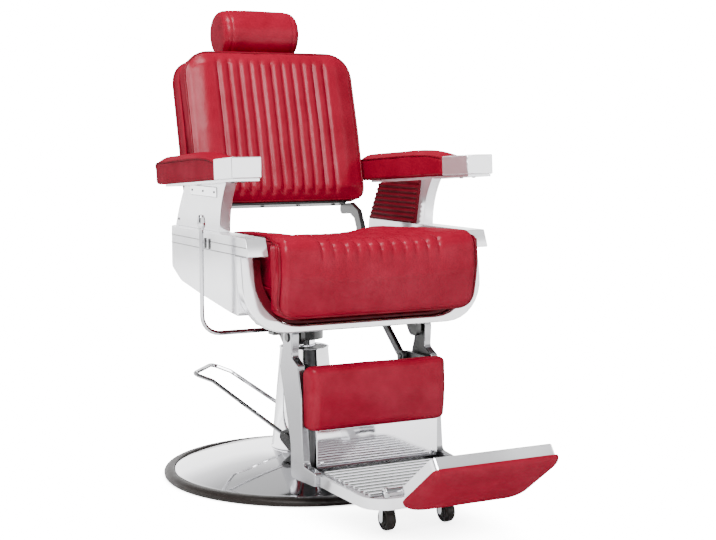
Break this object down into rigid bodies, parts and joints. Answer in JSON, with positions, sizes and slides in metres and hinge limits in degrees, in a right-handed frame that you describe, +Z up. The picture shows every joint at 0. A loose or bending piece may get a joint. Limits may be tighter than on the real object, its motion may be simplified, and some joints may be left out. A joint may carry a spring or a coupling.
{
  "type": "barber chair",
  "caption": "Hydraulic barber chair with a round base, chrome tub, padded arm rests, reclining back, sliding head rest and a linked leg rest with a folding flap.",
  "frame": {"origin": "on the floor under the pump, which is also the swivel axis", "axes": "+Z up, the chair faces -Y, +X to the right as seen from in front"},
  "size_m": [0.664, 1.1771, 1.0959],
  "materials": {
    "chrome": "polished",
    "polished_alloy": "polished",
    "aluminium": "satin",
    "black_steel": "satin",
    "bronze": "machined",
    "rubber": "matte",
    "red_vinyl": "soft sheen",
    "dark_vinyl": "soft sheen",
    "plywood": "raw"
  },
  "bodies": {
    "base": {"base_plate": "black_steel", "base_ring": "rubber", "base_cover": "chrome", "pump_cylinder": "black_steel", "pump_sleeve": "chrome", "pump_gland": "rubber"},
    "pedal": {"pedal_bar": "chrome", "front_pedal_hub": "black_steel", "rear_pedal_hub": "black_steel"},
    "column": {"piston_rod": "chrome", "swivel_washer": "bronze"},
    "seat_frame": {"seat_hub": "black_steel", "seat_plate": "black_steel", "tub_liner": "dark_vinyl", "front_apron": "polished_alloy", "left_side_panel": "polished_alloy", "right_side_panel": "polished_alloy", "left_arm_post": "polished_alloy", "right_arm_post": "polished_alloy", "left_post_panel": "dark_vinyl", "right_post_panel": "dark_vinyl", "left_arm_pad": "red_vinyl", "right_arm_pad": "red_vinyl", "left_arm_cap": "polished_alloy", "right_arm_cap": "polished_alloy", "seat_board": "plywood", "seat_cushion": "red_vinyl", "left_recline_pin": "chrome", "right_recline_pin": "chrome", "left_leg_hanger": "black_steel", "right_leg_hanger": "black_steel", "lever_bracket": "black_steel", "recline_lock_cylinder": "black_steel"},
    "recline_lever": {"lever_rod": "chrome", "lever_knob": "chrome"},
    "lock_rod": {"recline_lock_rod": "chrome"},
    "backrest": {"back_cushion": "red_vinyl", "back_shell": "red_vinyl", "back_rail": "black_steel", "left_back_bracket": "black_steel", "right_back_bracket": "black_steel"},
    "headrest": {"head_cushion": "red_vinyl", "head_bar": "chrome"},
    "links": {"left_link": "black_steel", "right_link": "black_steel"},
    "legrest": {"left_leg_arm": "polished_alloy", "right_leg_arm": "polished_alloy", "calf_board": "black_steel", "calf_pad": "red_vinyl", "kick_plate": "chrome", "foot_plate": "aluminium", "left_caster_fork": "chrome", "right_caster_fork": "chrome"},
    "flap": {"flap_pan": "polished_alloy", "flap_pad": "red_vinyl"},
    "left_caster": {"left_wheel": "rubber"},
    "right_caster": {"right_wheel": "rubber"}
  },
  "joints": [
    {"name": "lift", "type": "slide", "parent": "base", "child": "column", "axis": [0, 0, 1], "range_m": [0, 0.15]},
    {"name": "swivel", "type": "hinge", "parent": "column", "child": "seat_frame", "pos_m": [0, 0, 0.3386], "axis": [0, 0, 1], "continuous": true},
    {"name": "pedal_press", "type": "hinge", "parent": "base", "child": "pedal", "pos_m": [-0.0153, 0.01288, 0.1], "axis": [-0.6441, -0.7649, 0], "range_deg": [0, 24], "stiffness_Nm_per_rad": 20, "springref_deg": -20.05},
    {"name": "lever_pull", "type": "hinge", "parent": "seat_frame", "child": "recline_lever", "pos_m": [-0.2, -0.18, 0.372], "axis": [-1, 0, 0], "range_deg": [0, 25], "stiffness_Nm_per_rad": 4, "springref_deg": -20.05},
    {"name": "recline", "type": "hinge", "parent": "seat_frame", "child": "backrest", "pos_m": [0, 0.06, 0.5], "axis": [-1, 0, 0], "range_deg": [0, 48]},
    {"name": "legrest_lift", "type": "hinge", "parent": "seat_frame", "child": "legrest", "pos_m": [0, -0.278, 0.368], "axis": [-1, 0, 0], "range_deg": [0, 48]},
    {"name": "link_swing", "type": "hinge", "parent": "backrest", "child": "links", "pos_m": [0, 0.1, 0.4307], "axis": [-1, 0, 0], "range_deg": [-48, 0]},
    {"name": "lock_slide", "type": "slide", "parent": "seat_frame", "child": "lock_rod", "axis": [0, -1, 0], "range_m": [0, 0.0652]},
    {"name": "headrest_height", "type": "slide", "parent": "backrest", "child": "headrest", "axis": [0, 0.2504, 0.9681], "range_m": [0, 0.08]},
    {"name": "flap_fold", "type": "hinge", "parent": "legrest", "child": "flap", "pos_m": [0, -0.632, 0.108], "axis": [-1, 0, 0], "range_deg": [0, 144]},
    {"name": "left_wheel_spin", "type": "hinge", "parent": "legrest", "child": "left_caster", "pos_m": [-0.069, -0.532, 0.0245], "axis": [1, 0, 0], "continuous": true},
    {"name": "right_wheel_spin", "type": "hinge", "parent": "legrest", "child": "right_caster", "pos_m": [0.069, -0.532, 0.0245], "axis": [1, 0, 0], "continuous": true}
  ],
  "couplings": [
    {"joint": "legrest_lift", "follows": "recline", "ratio": 1},
    {"joint": "link_swing", "follows": "recline", "ratio": -1},
    {"joint": "lock_slide", "follows": "recline", "m_per_rad": 0.07727}
  ]
}
